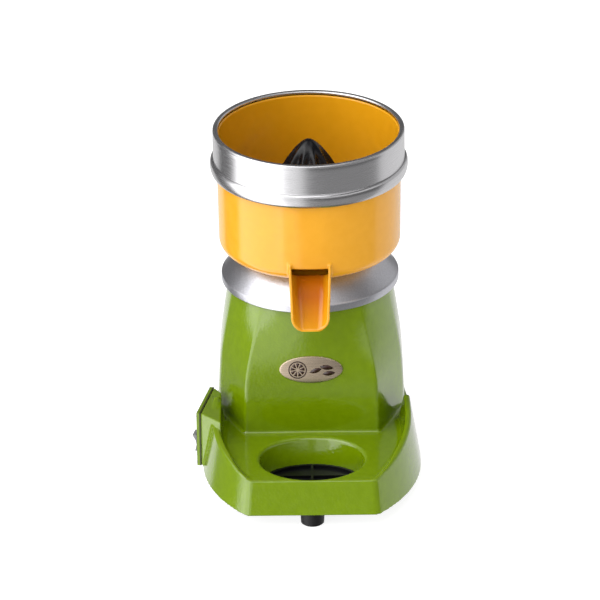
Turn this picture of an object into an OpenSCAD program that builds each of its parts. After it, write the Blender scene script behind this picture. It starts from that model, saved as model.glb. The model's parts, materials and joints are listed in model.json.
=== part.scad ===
// Citrus press juicer. A cast stand holds an upright motor; the bowl, sieve, reamer and
// splash ring lift off its shaft. Lengths are built around the shaft axis, then the whole
// is shifted so that the origin lies under the middle of the bounding box.

/* [Stand] */
// Half width of the skirt's lower edge at its widest
skirt_half_w = 101.6; // [100:0.2:103]
// Shaft axis to the front of the skirt
front_reach = 192.1; // [190:0.1:194]
// Shaft axis to the back of the skirt
back_reach = 106; // [104:0.5:108]
// Height of the skirt's lower edge, which the feet set
skirt_z = 15; // [14:0.5:16]
// Height of the platform floor
floor_z = 48.1; // [47:0.1:49]
// Rise of the shoulders over the floor at their peak
shoulder_rise = 26.9; // [22:0.1:28]
// Draft of the skirt, in degrees
skirt_draft = 9.4; // [8:0.2:10]
// Wall thickness of the casting
wall = 5; // [4.5:0.1:5.5]

/* [Tower] */
// Shaft axis to the side facets at the floor
tower_side = 87; // [85:0.5:89]
// Shaft axis to the front facet at the floor
tower_front = 88; // [86:0.5:90]
// Shaft axis to the chamfer facets at the floor
tower_chamfer = 92.2; // [90:0.2:94]
// Height of the top of the tower
tower_top = 168; // [166:0.5:170]
// Radius of the round top of the tower
tower_top_r = 76; // [75:0.5:78]

/* [Glass recess] */
// Shaft axis to the middle of the recess
recess_y = 140.5; // [138:0.5:140.5]
// Half width of the oval recess at the floor
recess_w = 48.6; // [46:0.2:49]
// Half of the recess's length, front to back, at the floor
recess_l = 43.1; // [41:0.1:43.5]
// Half width of the recess at its bottom
recess_low_w = 46.6; // [44:0.2:47]
// Half of the recess's length at its bottom
recess_low_l = 35; // [33:0.5:38]
// Height of the bottom of the recess
recess_z = 20.5; // [20:0.5:22]

/* [Bowl] */
// Height of the bowl's underside
bowl_z = 200; // [199:0.5:201]
// Height of the bowl's upper edge
bowl_top = 315.6; // [314:0.2:316]
// Outer radius of the bowl above its bottom corner
bowl_foot_r = 84.6; // [84:0.1:85]
// Outer radius of the bowl at its upper edge
bowl_rim_r = 85.9; // [85.5:0.1:86]
// Wall thickness of the bowl
bowl_wall = 2.8; // [2.4:0.1:3.2]
// Width of the spout where it leaves the bowl
spout_w = 40.5; // [36:0.5:44]
// Width of the spout at its tip
spout_tip_w = 35.5; // [32:0.5:38]
// Shaft axis to the tip of the spout
spout_reach = 124; // [118:0.5:128]
// Height of the spout's floor at the tip
spout_tip_z = 171.6; // [170:0.2:173]

/* [Splash ring] */
// Height of the top of the splash ring
ring_top = 319.8; // [319:0.1:320.5]
// Outer radius of the splash ring
ring_r = 88.95; // [88.5:0.05:89.5]
// Outer radius of the bulge
bulge_r = 91.9; // [91:0.1:93]

/* [Reamer] */
// Radius of the reamer at its foot
reamer_r = 35; // [32:0.5:38]
// Height of the reamer's tip
reamer_top = 309.6; // [305:0.2:311]
// Number of ribs round the reamer
reamer_ribs = 10; // [8:1:12]

/* [Drive] */
// Radius of the shaft in the bearings
bearing_bore_r = 7.5; // [7.4:0.05:7.6]
// Outer radius of the bearings
bearing_r = 17.5; // [17.3:0.1:17.6]
// Radius of the upper end of the shaft
shaft_r = 7; // [6.5:0.1:7]
// Radius of the stator stack
stator_r = 56; // [54:0.5:57]
// Running clearance between shaft and reamer
run_fit = 0.05; // [0.02:0.01:0.08]

/* [Switch box] */
// Middle of the switch plate, from the shaft axis
plate_x = 101; // [100:0.5:102]
// Middle of the switch plate, forward of the shaft axis
plate_y = 65.5; // [64:0.5:67]
// Length of the switch plate
plate_l = 56.4; // [54:0.2:58]
// Turn of the switch plate towards the back, in degrees
plate_turn = 12.3; // [10:0.1:14]
// Height of the box's top
box_top = 72; // [70:0.5:73]
// How far the rocker stands out from the plate
rocker_out = 6; // [5:0.5:7]

/* [Hidden] */
$fn = 96;
eps = 0.01;

gland_reach = 114;
gland_x = 28;
gland_z = 32;
rocker_at = [-14.8, -7];
switch_reach = plate_x + rocker_at[0] * -sin(plate_turn) + rocker_out * cos(plate_turn);
axis_x = (switch_reach - skirt_half_w) / 2;
axis_y = (front_reach - gland_reach) / 2;

// Skirt outline: a front arc, a flatter rear arc and a rear corner arc on each side
widest_y = -86;
front_arc_r = 157;
rear_arc_r = 480;
corner_r = 34;
front_steps = 14;
rear_steps = 18;
corner_steps = 6;
side_steps = front_steps + rear_steps + corner_steps;
front_arc_x = skirt_half_w - front_arc_r;
rear_arc_x = skirt_half_w - rear_arc_r;
corner_y = back_reach - corner_r;
corner_x = rear_arc_x + sqrt(pow(rear_arc_r - corner_r, 2) - pow(corner_y - widest_y, 2));
rear_turn = atan2(corner_y - widest_y, corner_x - rear_arc_x);

// Shoulders
shoulder_front_y = -186.6;
shoulder_peak_y = -66;
shoulder_fall = 26;
shoulder_band = 4.5;
shoulder_inner_draft = 12;

// Tower
deck_z = 158;
deck_top = 164;
seat_r = 70;
facet_turn = 23.4;
facet_power = 30;
round_from = 95;
round_share = 0.75;
FACETS = [[0, tower_side], [facet_turn, tower_chamfer], [90, tower_front],
    [180 - facet_turn, tower_chamfer], [180, tower_side], [180 + facet_turn, tower_chamfer],
    [270, tower_front], [360 - facet_turn, tower_chamfer]];

// Motor stack, from the deck down
spigot_r = 25.9;
core_low = 88;
core_high = 132;
shield_r = stator_r;
shield_bore = 48;
bolt_circle = 52.4;
mount_circle = 44.5;
upper_bearing_z = 156;
lower_bearing_z = 58;
bearing_h = 11;
seal_z = 167;
seal_h = 5;
fan_z = 39;
fan_h = 13;
fan_r = 44;
fan_bore = 6;
shaft_low = 34;
shaft_high = 262;
rotor_r = 31.6;
air_gap = 0.4;

// Collar
collar_r = 82.7;
collar_lip_top = 175.8;
collar_deck_r = 62;
collar_bore = 12;
collar_chimney = 206;
pillar_circle = 58;
pillar_turns = [90, 210, 330];

// Bowl interior
bowl_floor = bowl_z + bowl_wall;
bowl_corner = 12;
chimney_r = 15;
chimney_top = 236;
ledge_z = 224.6;
sieve_r = 81.5;
sieve_sheet = 1;
cap_z = 237.2;
hub_r = 12;
hub_low = 222;
reamer_low = 241;
pin_r = 2.5;
pin_z = 230;
pin_half = 10;

FEET = [[0, -176], [50, 84], [-50, 84]];
foot_r = 11.5;
plate_sheet = 2;
plate_z = skirt_z + plate_sheet;
badge_z = 112;
badge_half_w = 29.25;
badge_half_h = 13;
badge_lean = 5.5;

function smooth(t) = let (u = min(1, max(0, t))) u * u * (3 - 2 * u);
function taper(z) = (tower_side - tower_top_r)
    * pow((max(z, floor_z) - floor_z) / (tower_top - floor_z), 2);
function facet_term(turn, i) =
    pow(max(0, cos(turn - FACETS[i][0])) / FACETS[i][1], facet_power);
function facet_sum(turn, i = 0) =
    i == len(FACETS) ? 0 : facet_term(turn, i) + facet_sum(turn, i + 1);
function tower_radius(turn, z) =
    let (round = round_share * smooth((z - round_from) / (tower_top - round_from)),
        scale = 1 - taper(z) / tower_side)
    pow(facet_sum(turn), -1 / facet_power) * scale * (1 - round)
        + (tower_side - taper(z)) * round;
function tower_ring(z, inset, steps = 72) =
    [for (i = [0 : steps - 1]) let (turn = 360 * i / steps, r = tower_radius(turn, z) - inset)
        [r * cos(turn), r * sin(turn), z]];

function arc_point(x, y, r, turn) = [x + r * cos(turn), y + r * sin(turn)];
function front_turn(inset) = -asin((front_reach + widest_y - inset) / (front_arc_r - inset));
function side_point(k, inset) =
    k <= front_steps ? arc_point(front_arc_x, widest_y, front_arc_r - inset,
        front_turn(inset) * (1 - k / front_steps))
    : k <= front_steps + rear_steps ? arc_point(rear_arc_x, widest_y, rear_arc_r - inset,
        rear_turn * (k - front_steps) / rear_steps)
    : arc_point(corner_x, corner_y, corner_r - inset,
        rear_turn + (90 - rear_turn) * (k - front_steps - rear_steps) / corner_steps);
function ring_from(side) = concat(side, [for (k = [len(side) - 1 : -1 : 0])
    [-side[k][0], side[k][1], side[k][2]]]);
function skirt_ring(z, inset) = ring_from([for (k = [0 : side_steps])
    let (p = side_point(k, inset)) [p[0], p[1], z]]);
function skirt_inset(z) = (z - skirt_z) * tan(skirt_draft);

function shoulder_climb(y) = let (t = (y - shoulder_front_y) / (shoulder_peak_y - shoulder_front_y))
    shoulder_rise * max(0, 1.16 * t - 0.16 * t * t);
function shoulder_height(y) = y < shoulder_peak_y ? shoulder_climb(y)
    : y < shoulder_peak_y + shoulder_fall
        ? shoulder_rise * (1 + cos(180 * (y - shoulder_peak_y) / shoulder_fall)) / 2 : 0;
function shoulder_width(y) =
    shoulder_band * min(1, max(0.15, (y - shoulder_front_y) / 40));
function shoulder_at(k) = shoulder_height(side_point(k, 8)[1]);
function shoulder_ring(level, band, rise) = ring_from([for (k = [0 : side_steps])
    let (up = shoulder_at(k), z = floor_z + up * level,
        width = shoulder_width(side_point(k, 8)[1]),
        inset = skirt_inset(floor_z + up) + width * band
            + (up * tan(shoulder_inner_draft) + 0.6) * rise,
        p = side_point(k, inset)) [p[0], p[1], z]]);

// Closed solid through rings of equal length, from the lowest to the highest
module loft(rings) {
    n = len(rings[0]);
    last = (len(rings) - 1) * n;
    sides = [for (k = [0 : len(rings) - 2]) for (i = [0 : n - 1])
        let (a = k * n + i, b = k * n + (i + 1) % n) each [[a, a + n, b + n], [a, b + n, b]]];
    caps = [[for (i = [0 : n - 1]) i], [for (i = [n - 1 : -1 : 0]) last + i]];
    polyhedron(points = [for (r = rings) each r], faces = concat(sides, caps));
}

function oval(half_w, half_l, z) = [for (turn = [0 : 5 : 355])
    [half_w * cos(turn), half_l * sin(turn), z]];
function oval_outline(half_w, half_l) = [for (turn = [0 : 5 : 355])
    [half_w * cos(turn), half_l * sin(turn)]];

module at_axis() {
    translate([axis_x, axis_y, 0]) children();
}

// Local frame of the switch plate: -X points out of its face and Y runs to the back
module at_plate() {
    at_axis() translate([-plate_x, -plate_y, (box_top + 18) / 2])
        rotate([0, 0, -plate_turn]) children();
}

module ring(low, high, r_in, r_out) {
    translate([0, 0, low]) rotate_extrude()
        translate([r_in, 0]) square([r_out - r_in, high - low]);
}

module rod(low, high, r) {
    translate([0, 0, low]) cylinder(h = high - low, r = r);
}

module around(radius, turns) {
    for (turn = turns) rotate([0, 0, turn]) translate([radius, 0, 0]) children();
}

module hex(low, high, flat) {
    translate([0, 0, low]) cylinder(h = high - low, r = flat / sqrt(3), $fn = 6);
}

// Pan-head screw pointing down, its head seated at z = 0
module pan_screw(r, length, head_r, head_h) {
    difference() {
        union() {
            rod(-length, eps, r);
            rod(0, head_h, head_r);
        }
        hex(head_h * 0.45, head_h + 1, r * 1.3);
    }
}

// Countersunk screw pointing down, flush at z = 0
module flat_screw(r, length, head_r) {
    difference() {
        union() {
            rod(-length, -0.5, r);
            translate([0, 0, r - head_r]) cylinder(h = head_r - r, r1 = r, r2 = head_r);
        }
        translate([0, 0, -1.2]) for (turn = [0, 90]) rotate([0, 0, turn])
            translate([-r, -0.4, 0]) cube([2 * r, 0.8, 2]);
    }
}

module stand_outside() {
    loft([skirt_ring(skirt_z, 0), shoulder_ring(1, 0, 0), shoulder_ring(1, 1, 0),
        shoulder_ring(0, 1, 1)]);
    loft([for (z = [floor_z - 8, floor_z, 64, 80, round_from, 106, 117, 128, 138, 148, 158,
        tower_top]) tower_ring(z, 0)]);
    switch_box();
    translate([gland_x, 0, gland_z]) rotate([-90, 0, 0]) rod(back_reach - 11, back_reach + 1, 12);
}

module switch_box() {
    z = (box_top - 18) / 2;
    corner = [for (y = [-plate_l / 2, plate_l / 2])
        [-plate_x + 3.8 * cos(plate_turn) + y * sin(plate_turn),
            -plate_y - 3.8 * sin(plate_turn) + y * cos(plate_turn)]];
    translate([0, 0, 18]) linear_extrude(2 * z)
        polygon([corner[0], [-90, -108], [-88, -100], [-88, -44], corner[1]]);
}

module stand_inside() {
    loft([skirt_ring(skirt_z - 1, wall - 0.2),
        skirt_ring(floor_z - wall, wall + skirt_inset(floor_z - wall))]);
    loft([for (z = [skirt_z - 1, floor_z - wall, floor_z, 70, round_from, 115, 130, 145, deck_z])
        tower_ring(z, wall + 0.5, 48)]);
}

module body_casting() {
    color("yellowgreen") difference() {
        union() {
            at_axis() difference() {
                stand_outside();
                stand_inside();
            }
            at_axis() {
                translate([0, -recess_y, plate_z]) linear_extrude(floor_z - 1 - plate_z)
                    polygon(oval_outline(recess_w + 2, recess_l + 2));
                for (p = FEET) if (p[1] > 0) translate(p) rod(plate_z, floor_z - 2, 9);
                translate([gland_x, 0, gland_z]) rotate([-90, 0, 0])
                    rod(back_reach - 11, back_reach - 4, 12);
            }
        }
        at_axis() {
            translate([0, -recess_y, 0]) loft([oval(recess_low_w, recess_low_l, recess_z),
                oval(recess_w - 0.1, recess_l - 0.4, floor_z - 1.5),
                oval(recess_w + 2.4, recess_l + 2.4, floor_z + 1)]);
            rod(deck_top, tower_top + 1, seat_r);
            rod(deck_z - 1, deck_top + 1, spigot_r + 0.1);
            around(mount_circle, [45 : 90 : 315]) rod(deck_z - 1, deck_top + 1, 2.2);
            around(pillar_circle, pillar_turns) rod(deck_z - 1, deck_top + 1, 2);
            for (p = FEET) translate(p) rod(plate_z - 1, p[1] > 0 ? 32 : recess_z - 1, 2);
            translate([gland_x, 0, gland_z]) rotate([-90, 0, 0])
                rod(back_reach - 20, back_reach + 5, 6);
        }
        at_badge() badge_solid(0.1, -1);
        at_plate() {
            translate([-8, -plate_l / 2 - 0.3, -27.3]) cube([12, plate_l + 0.6, 54.6]);
            translate([3, -21, -20]) cube([5.5, 42, 40]);
            translate([3, rocker_at[0] - 8, rocker_at[1] - 11]) cube([14, 16, 22]);
            around_plate() rotate([0, -90, 0]) rod(-9, 0, 2);
        }
    }
}

module around_plate() {
    for (y = [-24.6, 24.6]) for (z = [-23.4, 23.4]) translate([0, y, z]) children();
}

module base_plate() {
    color("dimgray") at_axis() translate([0, 0, skirt_z]) linear_extrude(plate_sheet)
        difference() {
            polygon([for (p = skirt_ring(0, wall + 0.8)) [p[0], p[1]]]);
            for (p = FEET) translate(p) circle(r = 2.2);
            for (turn = [0 : 30 : 330]) rotate(turn) translate([24, -2]) square([20, 4]);
        }
}

module feet() {
    color("black") at_axis() for (p = FEET) translate(p) difference() {
        rotate_extrude() polygon([[0, 0], [foot_r - 2, 0], [foot_r - 0.8, 1], [foot_r, skirt_z],
            [0, skirt_z]]);
        rod(-1, 6, 6);
        rod(5, skirt_z + 1, 2.2);
    }
}

module foot_screws() {
    color("silver") at_axis() for (p = FEET) translate([p[0], p[1], 6])
        rotate([180, 0, 0]) pan_screw(2, 13, 4.2, 2.6);
}

module collar() {
    color("lightgray") at_axis() difference() {
        union() {
            rotate_extrude() polygon([[seat_r, tower_top], [collar_r - 0.6, tower_top],
                [collar_r, tower_top + 0.6], [collar_r, collar_lip_top - 0.8],
                [collar_r - 0.8, collar_lip_top], [collar_r - 2.4, collar_lip_top],
                [collar_deck_r + 0.6, bowl_z - 0.4], [collar_deck_r, bowl_z], [14.5, bowl_z],
                [14.5, collar_chimney], [collar_bore, collar_chimney], [collar_bore, bowl_z - 3],
                [collar_deck_r - 2, bowl_z - 3], [collar_r - 9, tower_top + 5], [seat_r, tower_top + 5]]);
            around(pillar_circle, pillar_turns) rod(deck_top, bowl_z - 2, 5);
        }
        around(pillar_circle, pillar_turns) {
            rod(deck_top - 1, bowl_z + 1, 2.2);
            translate([0, 0, bowl_z - 2.2]) cylinder(h = 2.3, r1 = 2.2, r2 = 4.5);
        }
    }
}

module collar_screws() {
    color("silver") at_axis() around(pillar_circle, pillar_turns)
        translate([0, 0, bowl_z - 0.1]) flat_screw(2, bowl_z - deck_z, 4);
}

module end_shield_holes() {
    around(bolt_circle, [0 : 90 : 270]) rod(0, tower_top, 2.1);
}

module upper_end_shield() {
    color("gray") at_axis() difference() {
        union() {
            ring(core_high, 146, shield_bore, shield_r);
            rod(146, 152, shield_r);
            ring(152 - eps, deck_z, 40, 48.6);
            rod(150, 172, spigot_r - 0.1);
        }
        rod(145, upper_bearing_z, 13);
        rod(upper_bearing_z, 173, bearing_r);
        end_shield_holes();
        around(mount_circle, [45 : 90 : 315]) rod(140, 170, 2);
        around(38, [0 : 60 : 300]) rod(140, 153, 6);
    }
}

module lower_end_shield() {
    color("gray") at_axis() difference() {
        union() {
            ring(74, core_low, shield_bore, shield_r);
            rod(68, 74, shield_r);
            rod(54, 74, 24);
        }
        rod(53, lower_bearing_z, 13);
        rod(lower_bearing_z - 1.2, 75, bearing_r);
        end_shield_holes();
        around(36, [0 : 60 : 300]) rod(60, 80, 7);
    }
}

module stator_core() {
    color("slategray") at_axis() difference() {
        rod(core_low, core_high, stator_r);
        rod(core_low - 1, core_high + 1, rotor_r + air_gap);
        end_shield_holes();
    }
}

module stator_windings() {
    color("chocolate") at_axis() for (low = [core_low - 12, core_high])
        translate([0, 0, low]) rotate_extrude() translate([34, 0]) polygon([[0, 1], [1, 0],
            [11, 0], [12.5, 1.5], [12.5, 10.5], [11, 12], [1, 12], [0, 11]]);
}

module tie_bolts() {
    color("silver") at_axis() around(bolt_circle, [0 : 90 : 270]) {
        translate([0, 0, 68]) rotate([180, 0, 0]) hex(0, 3, 6);
        rod(68 - eps, 153, 2);
        hex(152, 155, 6);
    }
}

module motor_screws() {
    color("silver") at_axis() around(mount_circle, [45 : 90 : 315])
        translate([0, 0, deck_top]) pan_screw(2, 16, 3.9, 2.6);
}

module race(low, r_in, r_out, groove_r) {
    difference() {
        ring(low, low + bearing_h, r_in, r_out);
        translate([0, 0, low + bearing_h / 2]) rotate_extrude()
            translate([12.5, 0]) circle(r = groove_r, $fn = 48);
    }
}

module bearing_balls(low) {
    around(12.5, [0 : 45 : 315]) translate([0, 0, low + bearing_h / 2]) sphere(r = 2.9, $fn = 48);
}

module upper_bearing_outer() {
    color("silver") at_axis() race(upper_bearing_z, 14.2, bearing_r, 2.92);
}

module upper_bearing_inner() {
    color("silver") at_axis() race(upper_bearing_z, bearing_bore_r, 10.8, 2.95);
}

module upper_bearing_balls() {
    color("white") at_axis() bearing_balls(upper_bearing_z);
}

module lower_bearing_outer() {
    color("silver") at_axis() race(lower_bearing_z, 14.2, bearing_r, 2.92);
}

module lower_bearing_inner() {
    color("silver") at_axis() race(lower_bearing_z, bearing_bore_r, 10.8, 2.95);
}

module lower_bearing_balls() {
    color("white") at_axis() bearing_balls(lower_bearing_z);
}

module wave_washer() {
    color("silver") at_axis() ring(lower_bearing_z - 1.2, lower_bearing_z, 13.6, bearing_r - 0.2);
}

module motor_shaft() {
    color("lightsteelblue") at_axis() difference() {
        union() {
            rod(shaft_low, lower_bearing_z, fan_bore);
            rod(lower_bearing_z - eps, lower_bearing_z + bearing_h, bearing_bore_r);
            rod(lower_bearing_z + bearing_h - eps, upper_bearing_z, 9);
            rod(upper_bearing_z - eps, 178, bearing_bore_r);
            rod(178 - eps, shaft_high - 1, shaft_r);
            translate([0, 0, shaft_high - 1 - eps]) cylinder(h = 1, r1 = shaft_r, r2 = shaft_r - 1);
        }
        translate([0, 0, pin_z]) rotate([0, 90, 0]) cylinder(h = 30, r = pin_r, center = true);
        ring(fan_z - 1.2, fan_z, fan_bore - 0.6, fan_bore + 1);
    }
}

module rotor_core() {
    color("darkgray") at_axis() difference() {
        union() {
            rod(core_low, core_high, rotor_r);
            ring(core_low - 4, core_high + 4, 20, rotor_r - 2);
        }
        rod(core_low - 5, core_high + 5, 9);
    }
}

module cooling_fan() {
    color("ivory") at_axis() difference() {
        union() {
            rod(fan_z, fan_z + fan_h, 12);
            rod(fan_z + fan_h - 2, fan_z + fan_h, fan_r);
            for (turn = [0 : 36 : 324]) rotate([0, 0, turn])
                translate([11, -0.9, fan_z + 1]) cube([fan_r - 12, 1.8, fan_h - 2]);
        }
        rod(fan_z - 1, fan_z + fan_h + 1, fan_bore);
    }
}

module fan_circlip() {
    color("silver") at_axis() difference() {
        ring(fan_z - 1.1, fan_z - 0.1, fan_bore - 0.6, fan_bore + 2.4);
        translate([0, -1.5, fan_z - 2]) cube([12, 3, 4]);
    }
}

module shaft_seal() {
    color("black") at_axis() difference() {
        rod(seal_z, seal_z + seal_h, bearing_r);
        rod(seal_z - 1, seal_z + 1.2, 11.5);
        rod(seal_z - 1, seal_z + seal_h + 1, bearing_bore_r + run_fit);
    }
}

module slinger() {
    color("dimgray") at_axis() rotate_extrude() polygon([[bearing_bore_r, 173.5],
        [bearing_bore_r, 177.8], [10, 177.8], [28, 174.6], [28, 173.2], [11, 173.5]]);
}

module drive_pin() {
    color("silver") at_axis() translate([0, 0, pin_z]) rotate([0, 90, 0])
        cylinder(h = 2 * pin_half, r = pin_r, center = true);
}

function spout_section(t, inset) = let (y = -74 - (spout_reach - 74) * t,
    half = spout_w / 2 + (spout_tip_w - spout_w) / 2 * t - inset,
    low = bowl_floor + (spout_tip_z - bowl_floor) * t + (inset > 0 ? 0 : -bowl_wall),
    high = inset > 0 ? low + 60 : 226 - 41 * t,
    r = 12 - inset)
    concat([for (a = [0 : 15 : 90]) [half - r + r * sin(a), y, low + r - r * cos(a)]],
        [[half, y, high], [-half, y, high]],
        [for (a = [90 : -15 : 0]) [-half + r - r * sin(a), y, low + r - r * cos(a)]]);

module bowl_wall_profile(inset) {
    foot = bowl_foot_r - inset;
    corner = bowl_corner - inset;
    top = bowl_top + (inset > 0 ? 1 : 0);
    polygon(concat([[0, bowl_z + inset]],
        [for (a = [0 : 10 : 90])
            [foot - corner + corner * sin(a), bowl_z + inset + corner * (1 - cos(a))]],
        [[bowl_rim_r - inset, top], [0, top]]));
}

module bowl() {
    color("orange") at_axis() difference() {
        union() {
            difference() {
                union() {
                    rotate_extrude() bowl_wall_profile(0);
                    loft([for (t = [0 : 0.25 : 1]) spout_section(t, 0)]);
                }
                rotate_extrude() bowl_wall_profile(bowl_wall);
                intersection() {
                    loft([for (t = [0, 1.2]) spout_section(t, bowl_wall)]);
                    union() {
                        translate([-40, -160, 150]) cube([80, 160, 63.6]);
                        translate([-40, -160, 150]) cube([80, 160 - bowl_foot_r, 90]);
                    }
                }
            }
            rotate_extrude() polygon([[79, ledge_z], [82.6, ledge_z], [82.6, ledge_z - 6]]);
            ring(bowl_z, chimney_top, chimney_r, chimney_r + 3);
        }
        rod(bowl_z - 1, chimney_top + 1, chimney_r);
    }
}

module sieve() {
    holes = [for (k = [0 : 5]) [30 + 8 * k, 22 + 6 * k]];
    color("silver") at_axis() {
        difference() {
            union() {
                ring(ledge_z, ledge_z + sieve_sheet, 19, sieve_r);
                ring(ledge_z, ledge_z + 7, sieve_r - sieve_sheet, sieve_r);
                ring(ledge_z, cap_z + sieve_sheet, 19, 20);
                ring(cap_z, cap_z + sieve_sheet, hub_r + run_fit, 20);
            }
            for (row = holes) around(row[0], [for (i = [0 : row[1] - 1]) 360 * i / row[1]])
                rod(ledge_z - 1, ledge_z + 2, 2.2);
        }
    }
}

function reamer_profile(z) = reamer_r * pow(sin(90 * (reamer_top - z) / (reamer_top - 243)), 0.66);
function reamer_ring(z, steps = 100) = [for (i = [0 : steps - 1])
    let (turn = 360 * i / steps, groove = pow(abs(sin(reamer_ribs * turn / 2)), 1.4),
        fade = smooth((reamer_top - z - 2) / 16), r = reamer_profile(z) * (1 - 0.2 * groove * fade))
        [r * cos(turn), r * sin(turn), z]];

module reamer() {
    color("black") at_axis() difference() {
        union() {
            loft([for (z = [243, 250, 258, 266, 274, 282, 290, 297, 302, 306, 308.4, 309.4])
                reamer_ring(z)]);
            rod(reamer_low, 244, reamer_r * 0.76);
            rod(hub_low, 245, hub_r);
        }
        ring(reamer_low - 1, 262, hub_r + 3, reamer_r * 0.62);
        rod(hub_low - 1, shaft_high + 0.3, shaft_r + run_fit);
        translate([-pin_half - 0.6, -pin_r - 0.3, hub_low - 1])
            cube([2 * pin_half + 1.2, 2 * pin_r + 0.6, pin_z + pin_r + 1.3 - hub_low]);
    }
}

module splash_ring() {
    sheet = 1.2;
    low = 277.7;
    crease = 291;
    middle = 285.6;
    function outer(z) = z > crease ? ring_r : ring_r + (bulge_r - ring_r) * sqrt(max(0,
        1 - pow((z - middle) / (z > middle ? crease - middle : middle - low), 2)));
    levels = [for (z = [low : 0.8 : crease]) z, crease + 0.2, ring_top - 2.4];
    bead = 1.95;
    color("gainsboro") at_axis() rotate_extrude() {
        polygon(concat([for (z = levels) [outer(z), z]],
            [for (i = [len(levels) - 1 : -1 : 0]) [outer(levels[i]) - sheet, levels[i]]]));
        translate([ring_r - bead, ring_top - bead]) circle(r = bead, $fn = 40);
    }
}

module glass_insert() {
    w = recess_low_w - 0.4;
    l = recess_low_l - 0.4;
    rib_y = 12;
    rib_w = w * sqrt(1 - pow((rib_y + 2) / l, 2)) - 1;
    color("black") at_axis() translate([0, -recess_y, recess_z]) {
        linear_extrude(4) difference() {
            polygon(oval_outline(w, l));
            polygon(oval_outline(w - 2.4, l - 2.4));
        }
        linear_extrude(1.4) polygon(oval_outline(w - 1, l - 1));
        translate([-1.1, 1 - l, 1]) cube([2.2, 2 * l - 2, 3]);
        for (y = [-rib_y, rib_y]) translate([-rib_w, y - 1.1, 1]) cube([2 * rib_w, 2.2, 3]);
    }
}

module at_badge() {
    at_axis() translate([0, -tower_radius(270, badge_z), badge_z]) rotate([90 - badge_lean, 0, 0]) children();
}

// Oval plate lying in the local XY plane, from its seat up to its face
module badge_solid(grow, low) {
    translate([0, 0, -1.5]) linear_extrude(low < 0 ? 8 : 2.5)
        polygon(oval_outline(badge_half_w + grow, badge_half_h + grow));
    for (x = [-18, 18]) translate([x, 0, -12]) cylinder(h = 11, r = 1.5 + grow);
}

module badge() {
    color("tan") at_badge() badge_solid(0, 0);
}

module badge_clips() {
    color("silver") at_badge() for (x = [-18, 18]) translate([x, 0, 0]) ring(-8.6, -7.4, 1.5, 5);
}

module plate_outline(low, high, hole) {
    difference() {
        translate([low, -plate_l / 2, -27]) cube([high - low, plate_l, 54]);
        translate([low - 1, rocker_at[0] - 7.6, rocker_at[1] - 10.6])
            cube([high - low + 2, 15.2, 21.2]);
        around_plate() rotate([0, -90, 0]) rod(-9, 9, hole);
    }
}

module switch_plate() {
    color("yellowgreen") at_plate() difference() {
        plate_outline(0, 2.5, 2.1);
        around_plate() rotate([0, -90, 0]) translate([0, 0, -2])
            cylinder(h = 2 + eps, r1 = 2.1, r2 = 4.1);
    }
}

module switch_gasket() {
    color("black") at_plate() plate_outline(2.5, 4, 2.2);
}

module switch_body() {
    color("black") at_plate() translate([0, rocker_at[0], rocker_at[1]]) difference() {
        union() {
            translate([-1.2, -9, -12]) cube([1.2, 18, 24]);
            translate([-0.1, -7.5, -10.5]) cube([15, 15, 21]);
        }
        translate([-2, -6.1, -9.2]) cube([10.5, 12.2, 18.4]);
        translate([3, 0, 0]) rotate([90, 0, 0]) cylinder(h = 15.2, r = 1, center = true);
    }
}

// Rocker pressed in at its lower end, so that its upper end stands out
module switch_rocker() {
    color("gainsboro") at_plate() translate([3, rocker_at[0], rocker_at[1]]) rotate([0, -8, 0])
        difference() {
            rotate([90, 0, 0]) translate([0, 0, -5.7]) linear_extrude(11.4)
                polygon([[-7.9, -8.2], [-5.6, -2], [-5.6, 2], [-7.9, 8.2], [-4.6, 8.2], [2.4, 3],
                    [2.4, -3], [-4.6, -8.2]]);
            rotate([90, 0, 0]) cylinder(h = 20, r = 1 + run_fit, center = true);
        }
}

module rocker_pin() {
    color("silver") at_plate() translate([3, rocker_at[0], rocker_at[1]]) rotate([90, 0, 0])
        cylinder(h = 15, r = 1, center = true);
}

module switch_screws() {
    color("silver") at_plate() around_plate() rotate([0, -90, 0]) flat_screw(2, 8.5, 3.9);
}

module run_capacitor() {
    color("white") at_axis() translate([62, 6, plate_z + 13]) rotate([90, 0, 0]) {
        cylinder(h = 56, r = 12, center = true);
        for (x = [-4, 4]) translate([x - 1.5, 0, 27.9]) cube([3, 0.8, 8]);
    }
}

module capacitor_clip() {
    color("silver") at_axis() translate([62, 6, plate_z]) difference() {
        union() {
            translate([0, 0, 13]) rotate([90, 0, 0]) cylinder(h = 16, r = 13, center = true);
            translate([-13, -8, 0]) cube([26, 16, 13]);
            translate([-22, -8, 0]) cube([44, 16, 1.5]);
        }
        translate([0, 0, 13]) rotate([90, 0, 0]) cylinder(h = 18, r = 12, center = true);
        translate([-10, -9, 1]) cube([20, 18, 6]);
    }
}

module terminal_block() {
    color("ivory") at_axis() translate([-62, 24, plate_z]) difference() {
        cube([22, 40, 15]);
        for (y = [8, 20, 32]) translate([11, y, 6]) {
            rod(0, 10, 2.6);
            translate([0, 0, 3]) rotate([0, 90, 0]) cylinder(h = 30, r = 2, center = true);
        }
    }
}

module cable_gland() {
    color("black") at_axis() translate([gland_x, 0, gland_z]) rotate([-90, 0, 0]) difference() {
        union() {
            rod(back_reach - 18, back_reach + 2, 6);
            hex(back_reach + 1, back_reach + 5, 19);
            translate([0, 0, back_reach + 5 - eps])
                cylinder(h = gland_reach - back_reach - 5 + eps, r1 = 8.6, r2 = 6.4);
        }
        rod(0, gland_reach + 1, 3.8);
    }
}

module gland_nut() {
    color("black") at_axis() translate([gland_x, 0, gland_z]) rotate([-90, 0, 0]) difference() {
        hex(back_reach - 16, back_reach - 11, 19);
        rod(0, gland_reach, 6);
    }
}

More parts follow.
